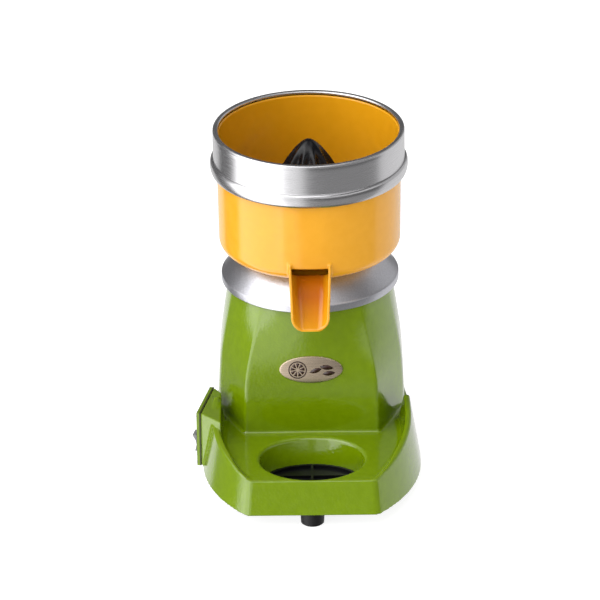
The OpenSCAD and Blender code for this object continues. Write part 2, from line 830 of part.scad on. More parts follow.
body_casting();
base_plate();
feet();
foot_screws();
collar();
collar_screws();
upper_end_shield();
lower_end_shield();
stator_core();
stator_windings();
tie_bolts();
motor_screws();
upper_bearing_outer();
upper_bearing_inner();
upper_bearing_balls();
lower_bearing_outer();
lower_bearing_inner();
lower_bearing_balls();
wave_washer();
motor_shaft();
rotor_core();
cooling_fan();
fan_circlip();
shaft_seal();
slinger();
drive_pin();
bowl();
sieve();
reamer();
splash_ring();
glass_insert();
badge();
badge_clips();
switch_plate();
switch_gasket();
switch_body();
switch_rocker();
rocker_pin();
switch_screws();
run_capacitor();
capacitor_clip();
terminal_block();
cable_gland();
gland_nut();
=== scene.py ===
import functools
import itertools
import json
import math

import bpy
import numpy as np
from mathutils import Matrix, Vector


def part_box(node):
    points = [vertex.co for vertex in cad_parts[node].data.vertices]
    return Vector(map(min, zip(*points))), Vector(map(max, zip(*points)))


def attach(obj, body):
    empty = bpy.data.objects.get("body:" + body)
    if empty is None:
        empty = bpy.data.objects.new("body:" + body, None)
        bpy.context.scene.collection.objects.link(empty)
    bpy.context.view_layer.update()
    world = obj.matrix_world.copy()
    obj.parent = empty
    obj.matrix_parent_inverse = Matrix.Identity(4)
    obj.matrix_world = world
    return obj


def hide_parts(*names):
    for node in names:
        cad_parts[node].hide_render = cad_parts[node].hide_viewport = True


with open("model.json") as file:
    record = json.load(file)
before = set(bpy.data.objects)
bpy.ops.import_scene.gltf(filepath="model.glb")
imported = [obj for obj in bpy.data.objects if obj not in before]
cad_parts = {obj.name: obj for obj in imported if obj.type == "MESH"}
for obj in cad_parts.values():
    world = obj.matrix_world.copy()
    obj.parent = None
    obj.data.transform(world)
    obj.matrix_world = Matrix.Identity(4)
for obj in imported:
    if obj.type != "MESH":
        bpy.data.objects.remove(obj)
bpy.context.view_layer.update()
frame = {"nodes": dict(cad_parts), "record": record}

MM = 0.001

# The shaft's axis in the row frame. Shapes below are in millimetres from it, with the table at z = 0.
shaft_low, shaft_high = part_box("motor_shaft")
AXIS = (shaft_low + shaft_high) / 2
AXIS_X, AXIS_Y = AXIS.x / MM, AXIS.y / MM

# Sizes that more than one shape or material uses.
TOWER_TOP, DECK_TOP, SEAT_R = 168.0, 164.0, 70.0
BOWL_Z = 200.0
SPOUT_FROM, SPOUT_REACH = 74.0, 124.0
SPOUT_HALF, SPOUT_TIP_HALF = 20.25, 17.75
SPOUT_LOW, SPOUT_TIP_LOW = 202.8, 171.6


# ---------------------------------------------------------------- implicit shapes

def smooth(t):
    t = np.clip(t, 0, 1)
    return t * t * (3 - 2 * t)


def both(a, b, r=0.0):
    """Intersection of two fields, its edge rounded to radius r."""
    if r <= 0:
        return np.maximum(a, b)
    return np.minimum(np.maximum(a, b), -r) + np.hypot(np.maximum(a + r, 0), np.maximum(b + r, 0))


def either(a, b, r=0.0):
    """Union of two fields, its inner corner filled to radius r."""
    return -both(-a, -b, r)


def less(a, b, r=0.0):
    """Field a without field b, the new edge rounded to radius r."""
    return both(a, -b, r)


def tube(x, y, radius):
    return np.hypot(x, y) - radius


def rod(x, y, z, radius, low, high, r=0.0):
    return both(both(tube(x, y, radius), low - z, r), z - high, r)


def gradient(field, p, h=0.02):
    """Slope of the field at points p, by central differences."""
    out = np.empty_like(p)
    for k in range(3):
        d = np.zeros(3)
        d[k] = h
        out[:, k] = (field(*(p + d).T) - field(*(p - d).T)) / (2 * h)
    return out


CORNERS = list(itertools.product((0, 1), repeat=3))


def crossings(f, cells):
    """For each cell, the mean place on its edges where the field changes sign, in cell widths."""
    values = {c: f[tuple((cells + c).T)] for c in CORNERS}
    total, count = np.zeros((len(cells), 3)), np.zeros(len(cells))
    for a, b in itertools.combinations(CORNERS, 2):
        if sum(abs(i - j) for i, j in zip(a, b)) != 1:
            continue
        fa, fb = values[a], values[b]
        cut = (fa < 0) != (fb < 0)
        t = np.where(cut, fa / np.where(cut, fa - fb, 1), 0)[:, None]
        total += np.where(cut[:, None], np.array(a) + t * (np.array(b) - np.array(a)), 0)
        count += cut
    return total / count[:, None]


def settled(field, p, step):
    """Points moved down the slope onto the surface, each by less than a cell."""
    start = p.copy()
    for _ in range(4):
        g = gradient(field, p)
        p = p - (field(*p.T) / np.maximum((g * g).sum(1), 0.2))[:, None] * g
        moved = p - start
        far = np.linalg.norm(moved, axis=1, keepdims=True)
        p = start + moved * np.minimum(1, 0.75 * step / np.maximum(far, 1e-9))
    return p


def cell_quads(inside, index):
    """One outward quad, between four cells, for each grid edge that crosses the surface."""
    quads = []
    for axis in range(3):
        u, v = (axis + 1) % 3, (axis + 2) % 3
        ends = [slice(1, m - 1) for m in inside.shape]
        ends[axis] = slice(0, inside.shape[axis] - 1)
        first = inside[tuple(ends)]
        ends[axis] = slice(1, inside.shape[axis])
        second = inside[tuple(ends)]
        for flip, chosen in ((False, first & ~second), (True, ~first & second)):
            at = np.argwhere(chosen)
            at[:, u] += 1
            at[:, v] += 1
            ring = []
            for du, dv in ((0, 0), (1, 0), (1, 1), (0, 1)):
                c = at.copy()
                c[:, u] -= 1 - du
                c[:, v] -= 1 - dv
                ring.append(index[tuple(c.T)])
            quads.append(np.stack(ring[::-1] if flip else ring, 1))
    return np.concatenate(quads)


def iso_surface(field, low, high, step):
    """Vertices, outward normals and quads of the closed surface where the field is 0."""
    axes = [np.arange(a, b + step, step) for a, b in zip(low, high)]
    f = field(*np.meshgrid(*axes, indexing="ij"))
    inside = f < 0
    count = sum(inside[tuple(slice(k, m - 1 + k) for k, m in zip(c, f.shape))].astype(np.int8)
                for c in CORNERS)
    active = (count > 0) & (count < len(CORNERS))
    cells = np.argwhere(active)
    index = np.full(active.shape, -1, np.int64)
    index[active] = np.arange(len(cells))
    p = settled(field, np.array(low) + (cells + crossings(f, cells)) * step, step)
    g = gradient(field, p)
    return p, g / np.linalg.norm(g, axis=1, keepdims=True), cell_quads(inside, index)


def arc(cx, cy, r, start, end, steps):
    """Points on an arc, its angles in degrees."""
    return [(cx + r * math.cos(math.radians(t)), cy + r * math.sin(math.radians(t)))
            for t in np.linspace(start, end, steps)]


def piece(name, vertices, faces, body, material, replaces=(), normals=None):
    """A mesh piece from vertices in millimetres round the shaft's axis."""
    world = (np.asarray(vertices, float) + (AXIS_X, AXIS_Y, 0)) * MM
    mesh = bpy.data.meshes.new(name)
    faces = faces.tolist() if isinstance(faces, np.ndarray) else faces
    mesh.from_pydata(world.tolist(), [], faces)
    mesh.validate()
    mesh.shade_smooth()
    if normals is not None:
        mesh.normals_split_custom_set_from_vertices(np.asarray(normals, float).tolist())
    mesh.materials.append(material)
    obj = bpy.data.objects.new(name, mesh)
    bpy.context.scene.collection.objects.link(obj)
    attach(obj, body)
    if replaces:
        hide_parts(*replaces)
    return obj


def revolved(profile, steps):
    """Vertices and quads of a closed outline of (radius, height) turned about the axis."""
    profile = np.asarray(profile, float)
    turns = np.arange(steps) * 2 * math.pi / steps
    vertices = np.concatenate([np.stack([profile[:, 0] * math.cos(t), profile[:, 0] * math.sin(t),
                                         profile[:, 1]], 1) for t in turns])
    m = len(profile)
    i, k = np.meshgrid(np.arange(steps), np.arange(m), indexing="ij")
    a, b = i * m + k, i * m + (k + 1) % m
    c, d = (i + 1) % steps * m + (k + 1) % m, (i + 1) % steps * m + k
    return vertices, np.stack([a, d, c, b], -1).reshape(-1, 4)


def joined(parts):
    """One set of vertices and faces from several."""
    vertices, faces, base = [], [], 0
    for v, f in parts:
        vertices.append(np.asarray(v, float))
        faces += [[int(i) + base for i in face] for face in f]
        base += len(v)
    return np.concatenate(vertices), faces


def prism(outline, low, high):
    """Vertices and faces of a flat outline raised from low to high."""
    n = len(outline)
    vertices = [(x, y, z) for z in (low, high) for x, y in outline]
    sides = [(i, (i + 1) % n, n + (i + 1) % n, n + i) for i in range(n)]
    return vertices, [tuple(range(n))[::-1], tuple(range(n, 2 * n)), *sides]


def softened(obj, width, segments=2, angle=35.0):
    """Rounds a piece's sharp edges with a bevel modifier; width is in millimetres."""
    bevel = obj.modifiers.new("soft_edges", "BEVEL")
    bevel.width, bevel.segments = width * MM, segments
    bevel.limit_method, bevel.angle_limit = "ANGLE", math.radians(angle)
    bevel.harden_normals = True
    return obj


# ---------------------------------------------------------------- materials

def add_node(tree, kind, inputs=None, **settings):
    """A shader node whose inputs are plain values or the sockets that feed them."""
    made = tree.nodes.new(kind)
    for key, value in settings.items():
        setattr(made, key, value)
    for key, value in (inputs or {}).items():
        if isinstance(value, bpy.types.NodeSocket):
            tree.links.new(value, made.inputs[key])
        else:
            made.inputs[key].default_value = value
    return made


class Finish:
    """A material whose nodes hang on one Principled shader."""

    def __init__(self, name, **values):
        self.material = bpy.data.materials.new(name)
        self.material.use_nodes = True
        self.tree = self.material.node_tree
        self.node = functools.partial(add_node, self.tree)
        self.shader = self.tree.nodes["Principled BSDF"]
        self.place = self.node("ShaderNodeTexCoord").outputs["Object"]
        self.height = None
        for key, value in values.items():
            socket = self.shader.inputs[key.replace("_", " ").title().replace("Ior", "IOR")]
            socket.default_value = (*value, 1) if isinstance(value, tuple) else value

    def noise(self, scale, detail=2.0, stretch=None, rough=0.5):
        place = self.place
        if stretch:
            place = self.node("ShaderNodeMapping", {"Vector": place, "Scale": stretch}).outputs[0]
        return self.node("ShaderNodeTexNoise", {"Vector": place, "Scale": scale, "Detail": detail,
                                                "Roughness": rough}).outputs["Fac"]

    def cells(self, scale, feature="SMOOTH_F1"):
        return self.node("ShaderNodeTexVoronoi", {"Vector": self.place, "Scale": scale},
                         feature=feature).outputs["Distance"]

    def span(self, value, low, high, start=0.0, end=1.0):
        return self.node("ShaderNodeMapRange", {"Value": value, "From Min": start, "From Max": end,
                                                "To Min": low, "To Max": high}).outputs[0]

    def math(self, operation, a, b=0.0):
        return self.node("ShaderNodeMath", {0: a, 1: b}, operation=operation).outputs[0]

    def colour(self, value, low, high, start=0.35, end=0.65):
        fac = self.span(value, 0.0, 1.0, start, end)
        mix = self.node("ShaderNodeMix", {"Factor": fac}, data_type="RGBA")
        mix.inputs[6].default_value = (*low, 1)
        mix.inputs[7].default_value = (*high, 1)
        self.tree.links.new(mix.outputs[2], self.shader.inputs["Base Color"])
        return self

    def tint(self, mask, shade):
        """Mixes a shade over the colour where the mask is one."""
        under = self.shader.inputs["Base Color"].links[0].from_socket
        mix = self.node("ShaderNodeMix", {"Factor": mask}, data_type="RGBA")
        self.tree.links.new(under, mix.inputs[6])
        mix.inputs[7].default_value = (*shade, 1)
        self.tree.links.new(mix.outputs[2], self.shader.inputs["Base Color"])
        return self

    def roughness(self, value, low, high, start=0.3, end=0.7):
        self.tree.links.new(self.span(value, low, high, start, end),
                            self.shader.inputs["Roughness"])
        return self

    def bump(self, height, depth, strength=1.0):
        """Adds a height field; depth is the relief in millimetres."""
        inputs = {"Height": height, "Distance": depth * MM, "Strength": strength}
        if self.height:
            inputs["Normal"] = self.height
        self.height = self.node("ShaderNodeBump", inputs).outputs[0]
        self.tree.links.new(self.height, self.shader.inputs["Normal"])
        return self


def srgb(r, g, b):
    """A colour in linear light from its screen values."""
    return tuple(c / 255 / 12.92 if c <= 10 else ((c / 255 + 0.055) / 1.055) ** 2.4
                 for c in (r, g, b))


def green_enamel():
    f = Finish("green_enamel", roughness=0.16, specular_ior_level=0.5, coat_weight=0.5,
               coat_roughness=0.06)
    f.colour(f.noise(140, 4), srgb(106, 132, 0), srgb(111, 137, 3))
    f.roughness(f.noise(90, 3), 0.08, 0.16)
    f.bump(f.cells(460), 0.17, 0.75)
    f.bump(f.noise(1000, 3), 0.05, 0.5)
    return f.material


def spout_painted_shade(f):
    """Mask of the painted shade on the bottom of the spout's channel, fading to its sides, its rim and
    both its ends.
    """
    x, y, z = f.node("ShaderNodeSeparateXYZ", {0: f.place}).outputs
    reach = f.span(y, 0, 1, (AXIS_Y - SPOUT_FROM) * MM, (AXIS_Y - SPOUT_REACH) * MM)
    across = f.math("ABSOLUTE", f.math("SUBTRACT", x, AXIS_X * MM))
    inside = f.math("SUBTRACT", f.span(reach, SPOUT_HALF * MM, SPOUT_TIP_HALF * MM), across)
    above = f.math("SUBTRACT", z, f.span(reach, SPOUT_LOW * MM, SPOUT_TIP_LOW * MM))
    mask = f.math("MULTIPLY", f.span(inside, 0, 1, 2.6 * MM, 8.5 * MM),
                  f.span(above, 0, 1, -1.5 * MM, -0.5 * MM))
    mask = f.math("MULTIPLY", mask, f.span(z, 1, 0, 212 * MM, 213.4 * MM))
    ends = f.math("MULTIPLY",
                  f.span(y, 1, 0, (AXIS_Y - SPOUT_FROM) * MM, (AXIS_Y - SPOUT_FROM + 6) * MM),
                  f.span(reach, 1.0, 0.3, 0.4, 1.0))
    return f.math("MULTIPLY", mask, ends)


def yellow_enamel():
    f = Finish("yellow_enamel", roughness=0.2, specular_ior_level=0.5, coat_weight=0.25,
               coat_roughness=0.08)
    f.colour(f.noise(120, 3), srgb(226, 158, 20), srgb(229, 161, 23))
    # painted shade: the bottom of the spout's channel is darkened in colour, standing in for its shadow
    f.tint(spout_painted_shade(f), srgb(184, 98, 0))
    f.roughness(f.noise(120, 3), 0.17, 0.26)
    f.bump(f.noise(260, 2), 0.03, 0.35)
    return f.material


def brushed_steel(name="brushed_steel", tint=(205, 204, 206), rough=(0.2, 0.3), depth=0.012):
    f = Finish(name, metallic=1.0, anisotropic=0.35)
    grain = f.noise(900, 3, stretch=(0.06, 0.06, 6.0))
    f.colour(grain, srgb(*[t - 14 for t in tint]), srgb(*tint))
    f.roughness(grain, *rough)
    f.bump(grain, depth, 0.4)
    return f.material


def cast_metal():
    f = Finish("satin_casting", metallic=1.0)
    f.colour(f.noise(700, 4), srgb(186, 186, 192), srgb(200, 200, 206))
    f.roughness(f.noise(500, 3), 0.3, 0.4)
    f.bump(f.cells(620), 0.12, 0.6)
    f.bump(f.noise(1300, 2), 0.05, 0.5)
    return f.material


def plain(name, low, high, metallic=0.0, rough=(0.3, 0.45), scale=250, depth=0.03, **more):
    """A finish between two close colours, with fine grain in its roughness and relief."""
    f = Finish(name, metallic=metallic, **more)
    f.colour(f.noise(scale, 4), srgb(*low), srgb(*high))
    f.roughness(f.noise(scale * 1.7, 3), *rough)
    f.bump(f.noise(scale * 4, 3), depth, 0.4)
    return f.material


GREEN = green_enamel()
YELLOW = yellow_enamel()
STEEL = brushed_steel()
CASTING = cast_metal()
BLACK_GLOSS = plain("black_gloss", (7, 6, 11), (12, 11, 17), rough=(0.22, 0.3), scale=120,
                    depth=0.02, specular_ior_level=0.3)
GASKET = plain("gasket_rubber", (44, 52, 8), (54, 62, 14), rough=(0.5, 0.6))
DARK_ENAMEL = plain("dark_enamel", (40, 18, 14), (52, 26, 20), rough=(0.2, 0.3))
MATERIALS = {
    "green_paint": GREEN,
    "orange_plastic": YELLOW,
    "ring_steel": STEEL,
    "collar_aluminium": CASTING,
    "sieve_steel": brushed_steel("sieve_steel", (190, 190, 192), (0.26, 0.36)),
    "black_plastic": BLACK_GLOSS,
    "black_insert": plain("insert_black", (6, 6, 10), (10, 10, 14), rough=(0.3, 0.42),
                          specular_ior_level=0.3),
    "black_rubber": plain("rubber", (12, 12, 13), (19, 19, 20), rough=(0.5, 0.62), depth=0.05,
                          specular_ior_level=0.3),
    "badge_metal": brushed_steel("badge_metal", (226, 206, 182), (0.24, 0.32)),
    "pale_plastic": plain("pale_plastic", (196, 196, 192), (208, 208, 204), rough=(0.3, 0.4)),
    "grey_plastic": plain("grey_plastic", (120, 120, 122), (134, 134, 136), rough=(0.35, 0.5)),
    "dark_sheet": plain("dark_sheet", (46, 46, 48), (60, 60, 62), 0.6, (0.4, 0.55)),
    "screw_steel": plain("screw_steel", (150, 150, 152), (178, 178, 180), 1.0, (0.22, 0.36)),
    "shaft_steel": plain("shaft_steel", (178, 178, 182), (200, 200, 204), 1.0, (0.14, 0.24)),
    "bearing_steel": plain("bearing_steel", (188, 188, 192), (205, 205, 208), 1.0, (0.1, 0.18)),
    "cast_aluminium": plain("cast_aluminium", (150, 150, 152), (172, 172, 175), 1.0, (0.4, 0.55),
                            depth=0.08),
    "core_steel": plain("core_steel", (92, 94, 98), (118, 120, 124), 0.9, (0.4, 0.5)),
    "copper_wire": plain("copper_wire", (150, 78, 40), (188, 104, 58), 0.9, (0.25, 0.4),
                         scale=500, depth=0.12),
}


# ---------------------------------------------------------------- the casting

SKIRT_Z, FLOOR_Z, SKIRT_HALF_W, FRONT_REACH, BACK_REACH = 15.0, 48.1, 101.6, 192.1, 106.0
DRAFT = math.tan(math.radians(9.4))
WIDEST_Y, FRONT_ARC_R, REAR_ARC_R, CORNER_R = -86.0, 157.0, 480.0, 34.0
FRONT_ARC_X, REAR_ARC_X = SKIRT_HALF_W - FRONT_ARC_R, SKIRT_HALF_W - REAR_ARC_R
CORNER_Y = BACK_REACH - CORNER_R
CORNER_X = REAR_ARC_X + math.sqrt((REAR_ARC_R - CORNER_R) ** 2 - (CORNER_Y - WIDEST_Y) ** 2)
REAR_TURN = math.atan2(CORNER_Y - WIDEST_Y, CORNER_X - REAR_ARC_X)

SHOULDER_FRONT, SHOULDER_PEAK, SHOULDER_FALL, SHOULDER_RISE = -186.6, -66.0, 26.0, 26.9
SHOULDER_BAND, SHOULDER_BAND_LENGTH, SHOULDER_INNER_DRAFT = 4.5, 40, math.radians(12)

TOWER_SIDE, TOWER_TOP_R, ROUND_FROM, ROUND_SHARE = 87.0, 76.0, 95.0, 0.75
FACETS = [(0, 87), (23.4, 92.2), (90, 88), (156.6, 92.2), (180, 87), (203.4, 92.2), (270, 88),
          (336.6, 92.2)]  # turn in degrees, distance from the axis
FACET_POWER = 110

RECESS_Y, RECESS_Z, RECESS_POWER = 140.5, 20.5, 1.4
RECESS_TOP, RECESS_LOW = (48.6, 43.1), (46.6, 35.0)

PLATE_AT, PLATE_TURN, PLATE_Z = (-101.0, -65.5), math.radians(12.3), 45.0
PLATE_SHEET, PLATE_HALF_L, PLATE_HALF_H = 4, 28.5, 27.3
BOX_LOW, BOX_TOP, BOX_INNER_X = 18, 72, -84
BOX_FRONT = ((-103.1, -93.9), (-90, -108))
BOX_REAR = ((-88, -44), (-91.1, -38.8))
SWITCH_POCKET = (21, 20, 8.5, (0, 0))  # half length, half height, depth, centre
ROCKER_POCKET = (8, 11, 17, (-14.8, -7.0))

BADGE_Z, BADGE_HALF, BADGE_LEAN, BADGE_DOME = 112.0, (29.25, 13.0), math.radians(5.5), 0.9

REAR_FEET, FRONT_FOOT, FOOT_BOSS_R = ((50, 84), (-50, 84)), (0, -176), 9
SCREW_R, REAR_SCREW_TOP = 2, 32
GLAND_X, GLAND_Z, GLAND_BOSS_R, GLAND_BORE_R = 28, 32, 12, 6.05

# the hollow inside, above the base plate
SHEET_TOP, HOLLOW_TOP, DECK_Z, SPIGOT_R = 17, FLOOR_Z - 5, 158, 26
SKIRT_WALL, TOWER_WALL, RECESS_WALL, HOLLOW_DRAFT = 4.8, 5.5, 2, 0.166


def skirt_side(x, y):
    """Distance from the plan outline of the skirt's sides and back at its lower edge."""
    q = np.abs(x)
    side = np.where(y < WIDEST_Y, np.hypot(q - FRONT_ARC_X, y - WIDEST_Y) - FRONT_ARC_R,
                    np.hypot(q - REAR_ARC_X, y - WIDEST_Y) - REAR_ARC_R)
    beyond = (y - CORNER_Y) * math.cos(REAR_TURN) > (q - CORNER_X) * math.sin(REAR_TURN)
    corner = np.hypot(np.maximum(q - CORNER_X, 0), y - CORNER_Y) - CORNER_R
    return np.where(beyond, corner, side)


def shoulder_height(y):
    """Rise of the shoulders over the floor: a climb from the front, then a fall behind the peak."""
    t = (y - SHOULDER_FRONT) / (SHOULDER_PEAK - SHOULDER_FRONT)
    climb = SHOULDER_RISE * np.maximum(0, 1.16 * t - 0.16 * t * t)
    u = np.clip((y - SHOULDER_PEAK) / SHOULDER_FALL, 0, 1)
    return np.where(y < SHOULDER_PEAK, climb, SHOULDER_RISE * (1 + np.cos(math.pi * u)) / 2)


def tower_radius(turn, z):
    """The tower's radius: its facets, drawn in and turning round towards the top."""
    total = sum(np.maximum(0, np.cos(turn - math.radians(a)) * TOWER_SIDE / d) ** FACET_POWER
                for a, d in FACETS)
    drop = (TOWER_SIDE - TOWER_TOP_R) * ((np.maximum(z, FLOOR_Z) - FLOOR_Z)
                                         / (TOWER_TOP - FLOOR_Z)) ** 2
    w = ROUND_SHARE * smooth((z - ROUND_FROM) / (TOWER_TOP - ROUND_FROM))
    return (TOWER_SIDE - drop) * (total ** (-1 / FACET_POWER) * (1 - w) + w)


def plate_frame(x, y, z):
    """Coordinates of the switch plate: out of its face, to the back, and up."""
    c, s = math.cos(PLATE_TURN), math.sin(PLATE_TURN)
    dx, dy = x - PLATE_AT[0], y - PLATE_AT[1]
    return -(dx * c - dy * s), dx * s + dy * c, z - PLATE_Z


def wedge(x, y, a, b):
    """Half plane to the left of the line from a to b."""
    dx, dy = b[0] - a[0], b[1] - a[1]
    return ((x - a[0]) * dy - (y - a[1]) * dx) / math.hypot(dx, dy)


def oval_wall(x, y, z):
    """Distance outward from the recess's oval wall at a height."""
    t = np.clip((z - RECESS_Z) / (FLOOR_Z - RECESS_Z), 0, 1) ** RECESS_POWER
    half_w, half_l = (a + (b - a) * t for a, b in zip(RECESS_LOW, RECESS_TOP))
    far = np.hypot(x, y) + 1e-6
    return far - far / (np.hypot(x / half_w, y / half_l) + 1e-9)


def switch_box(x, y, z):
    out = plate_frame(x, y, z)[0]
    box = both(out + PLATE_SHEET, wedge(x, y, *BOX_FRONT), 1.2)
    box = both(box, wedge(x, y, *BOX_REAR), 1.2)
    box = both(box, x - BOX_INNER_X)
    return both(both(box, z - BOX_TOP, 1.4), BOX_LOW - z, 1.4)


def stand_outside(x, y, z, side, tower):
    """Skirt, floor, shoulders, tower, switch box and cable gland's boss, without any opening."""
    inset = (z - SKIRT_Z) * DRAFT
    skirt = both(side + inset, -FRONT_REACH - y + inset, 2.6) * math.cos(math.atan(DRAFT))
    up = shoulder_height(y)
    width = SHOULDER_BAND * np.clip((y - SHOULDER_FRONT) / SHOULDER_BAND_LENGTH, 0.15, 1)
    top = FLOOR_Z + up
    inner = (-side - (top - SKIRT_Z) * DRAFT - width
             - (top - z) * math.tan(SHOULDER_INNER_DRAFT) - 0.6)
    shoulder = both(z - top + 3 * (1 - smooth(up / 3)), inner * math.cos(SHOULDER_INNER_DRAFT), 1.5)
    shape = both(either(z - FLOOR_Z, shoulder, 4.5), skirt, 2.0)
    shape = np.maximum(shape, SKIRT_Z - z)
    shape = either(shape, both(tower, z - TOWER_TOP, 1.0), 3.2)
    shape = either(shape, switch_box(x, y, z), 1.6)
    return either(shape, rod(x - GLAND_X, z - GLAND_Z, y, GLAND_BOSS_R, BACK_REACH - 11,
                             BACK_REACH + 1, 1.0), 1.5)


def stand_hollow(x, y, z, side, tower):
    """The hollow under the skirt and in the tower, less the recess's wall and the bosses."""
    flank = np.maximum(side, -FRONT_REACH - y)
    hollow = both(flank + SKIRT_WALL + (z - (SKIRT_Z - 1)) * HOLLOW_DRAFT, z - HOLLOW_TOP, 3)
    hollow = either(hollow, both(tower + TOWER_WALL, z - DECK_Z, 3), 3)
    recess = oval_wall(x, y + RECESS_Y, FLOOR_Z) - RECESS_WALL
    hollow = less(hollow, both(recess, SHEET_TOP - z), 2)
    for fx, fy in REAR_FEET:
        hollow = less(hollow, both(tube(x - fx, y - fy, FOOT_BOSS_R), SHEET_TOP - z), 2)
    boss = tube(x - GLAND_X, z - GLAND_Z, GLAND_BOSS_R)
    return less(hollow, both(boss, BACK_REACH - 11 - y), 1)


def body_field(x, y, z):
    side = skirt_side(x, y)
    tower = np.hypot(x, y) - tower_radius(np.arctan2(y, x), z)
    shape = stand_outside(x, y, z, side, tower)
    shape = less(shape, both(oval_wall(x, y + RECESS_Y, z), RECESS_Z - z, 2.0), 2.8)
    shape = np.maximum(shape, -stand_hollow(x, y, z, side, tower))
    shape = less(shape, rod(x, y, z, SEAT_R, DECK_TOP, TOWER_TOP + 2), 0.4)
    shape = less(shape, rod(x, y, z, SPIGOT_R, DECK_Z - 8, TOWER_TOP + 2), 0.4)
    shape = less(shape, rod(x - GLAND_X, z - GLAND_Z, y, GLAND_BORE_R, 80, 120), 0.3)
    for (fx, fy), top in [(at, REAR_SCREW_TOP) for at in REAR_FEET] + [(FRONT_FOOT, RECESS_Z - 1)]:
        shape = np.maximum(shape, -rod(x - fx, y - fy, z, SCREW_R, SKIRT_Z - 5, top))
    out, along, up = plate_frame(x, y, z)
    seat = np.maximum(np.abs(along) - PLATE_HALF_L, np.abs(up) - PLATE_HALF_H)
    shape = less(shape, np.maximum(seat, -out - PLATE_SHEET), 0.4)
    for half_l, half_h, depth, (at_l, at_h) in (SWITCH_POCKET, ROCKER_POCKET):
        pocket = np.maximum(np.abs(along - at_l) - half_l, np.abs(up - at_h) - half_h)
        shape = np.maximum(shape, -np.maximum(pocket, -out - depth))
    return shape


def casting():
    p, n, quads = iso_surface(body_field, (-109, -196, 12), (106, 112, 171), 1.6)
    return piece("casting_skin", p, quads, "root", GREEN, ["body_casting"], n)


# ---------------------------------------------------------------- the bowl

BOWL_TOP, BOWL_FOOT_R, BOWL_RIM_R, BOWL_WALL, BOWL_CORNER = 315.6, 84.6, 85.9, 2.8, 12
SPOUT_SLOPE = 0.85  # scales heights in the spout, whose floor falls outward
SPOUT_WALL_TOP, SPOUT_WALL_FALL, MOUTH_TOP = 226, 41, 213.6
LEDGE_R, LEDGE_TOP, LEDGE_OUTER_R = 79.0, 224.6, 83.4
CHIMNEY_R, CHIMNEY_BORE_R, CHIMNEY_TOP = 18, 15, 236


def bowl_field(x, y, z):
    r = np.hypot(x, y)
    rise = (z - BOWL_Z - BOWL_CORNER) / (BOWL_TOP - BOWL_Z - BOWL_CORNER)
    wall = BOWL_FOOT_R + (BOWL_RIM_R - BOWL_FOOT_R) * rise
    outer = both(r - wall, BOWL_Z - z, BOWL_CORNER)
    inner = both(r - wall + BOWL_WALL, BOWL_Z + BOWL_WALL - z, BOWL_CORNER - BOWL_WALL)
    shell = less(both(outer, z - BOWL_TOP, 1.1), inner, 1.1)
    # the spout: a trough, the channel in it and the mouth in the bowl's wall
    t = (-SPOUT_FROM - y) / (SPOUT_REACH - SPOUT_FROM)
    half = SPOUT_HALF + (SPOUT_TIP_HALF - SPOUT_HALF) * t
    low = SPOUT_LOW + (SPOUT_TIP_LOW - SPOUT_LOW) * t
    trough = both(np.abs(x) - half, (low - BOWL_WALL - z) * SPOUT_SLOPE, 12)
    trough = both(trough, z - (SPOUT_WALL_TOP - SPOUT_WALL_FALL * t), 0.9)
    trough = both(np.maximum(trough, y + SPOUT_FROM), -SPOUT_REACH - y, 0.9)
    trough = np.maximum(trough, -inner)
    channel = both(np.abs(x) - half + BOWL_WALL, (low - z) * SPOUT_SLOPE, 9.4)
    shape = either(shell, less(trough, channel, 1.1), 1.8)
    mouth = np.maximum(channel, np.minimum(z - MOUTH_TOP, y + BOWL_FOOT_R))
    shape = less(shape, np.maximum(mouth, y + 60), 0.7)
    # the sieve's ledge, sloped underneath
    ledge = np.maximum(np.maximum(LEDGE_R - r, z - LEDGE_TOP),
                       (LEDGE_TOP - z) * 0.52 + (LEDGE_R - r) * 0.86)
    shape = either(shape, np.maximum(ledge, r - LEDGE_OUTER_R), 0.5)
    # the chimney round the shaft; the limit keeps its inside level
    chimney = rod(x, y, z, CHIMNEY_R, BOWL_Z + 1, CHIMNEY_TOP, 0.8)
    shape = either(shape, np.maximum(chimney, -1), 2)
    return less(shape, tube(x, y, CHIMNEY_BORE_R), 0.5)


def bowl():
    p, n, quads = iso_surface(bowl_field, (-89, -127, 164), (89, 89, 318), 1.25)
    return piece("bowl_skin", p, quads, "bowl", YELLOW, ["bowl"], n)


# ---------------------------------------------------------------- splash ring and reamer

RING_LOW, RING_MIDDLE, RING_CREASE, RING_TOP = 277.7, 285.6, 291.0, 319.8
RING_R, BULGE_R, RING_SHEET, BEAD_R, BEAD_H = 88.95, 91.9, 1.2, 2.5, 1.85


def ring_outline():
    """Closed section of the ring: rolled hem, bulge, straight wall and the bead at its top."""
    def outer(z):
        if z > RING_CREASE:
            return RING_R
        span = RING_CREASE - RING_MIDDLE if z > RING_MIDDLE else RING_MIDDLE - RING_LOW
        return RING_R + (BULGE_R - RING_R) * math.sqrt(max(0, 1 - ((z - RING_MIDDLE) / span) ** 2))

    heights = [RING_MIDDLE + (RING_LOW - RING_MIDDLE) * math.cos(a)
               for a in np.linspace(0, math.pi / 2, 14)]
    heights += [RING_MIDDLE + (RING_CREASE - RING_MIDDLE) * math.sin(a)
                for a in np.linspace(0.1, math.pi / 2, 14)]
    heights += list(np.linspace(RING_CREASE + 0.6, RING_TOP - 3.0, 8))
    out = [(outer(z), z) for z in heights]
    bead = [(RING_R - BEAD_R + BEAD_R * math.cos(a), RING_TOP - BEAD_H + BEAD_H * math.sin(a))
            for a in np.radians(np.linspace(-20, 262, 30))]
    inner = [(r - RING_SHEET, z) for r, z in reversed(out)]
    hem = [(RING_R - RING_SHEET / 2 + 0.6 * math.cos(a), RING_LOW - 0.35 * math.sin(a))
           for a in np.linspace(math.pi * 0.85, math.pi * 0.15, 5)]
    return hem + out + bead + inner


def splash_ring():
    v, quads = revolved(ring_outline(), 288)
    return piece("ring_skin", v, quads, "splash_ring", STEEL, ["splash_ring"])


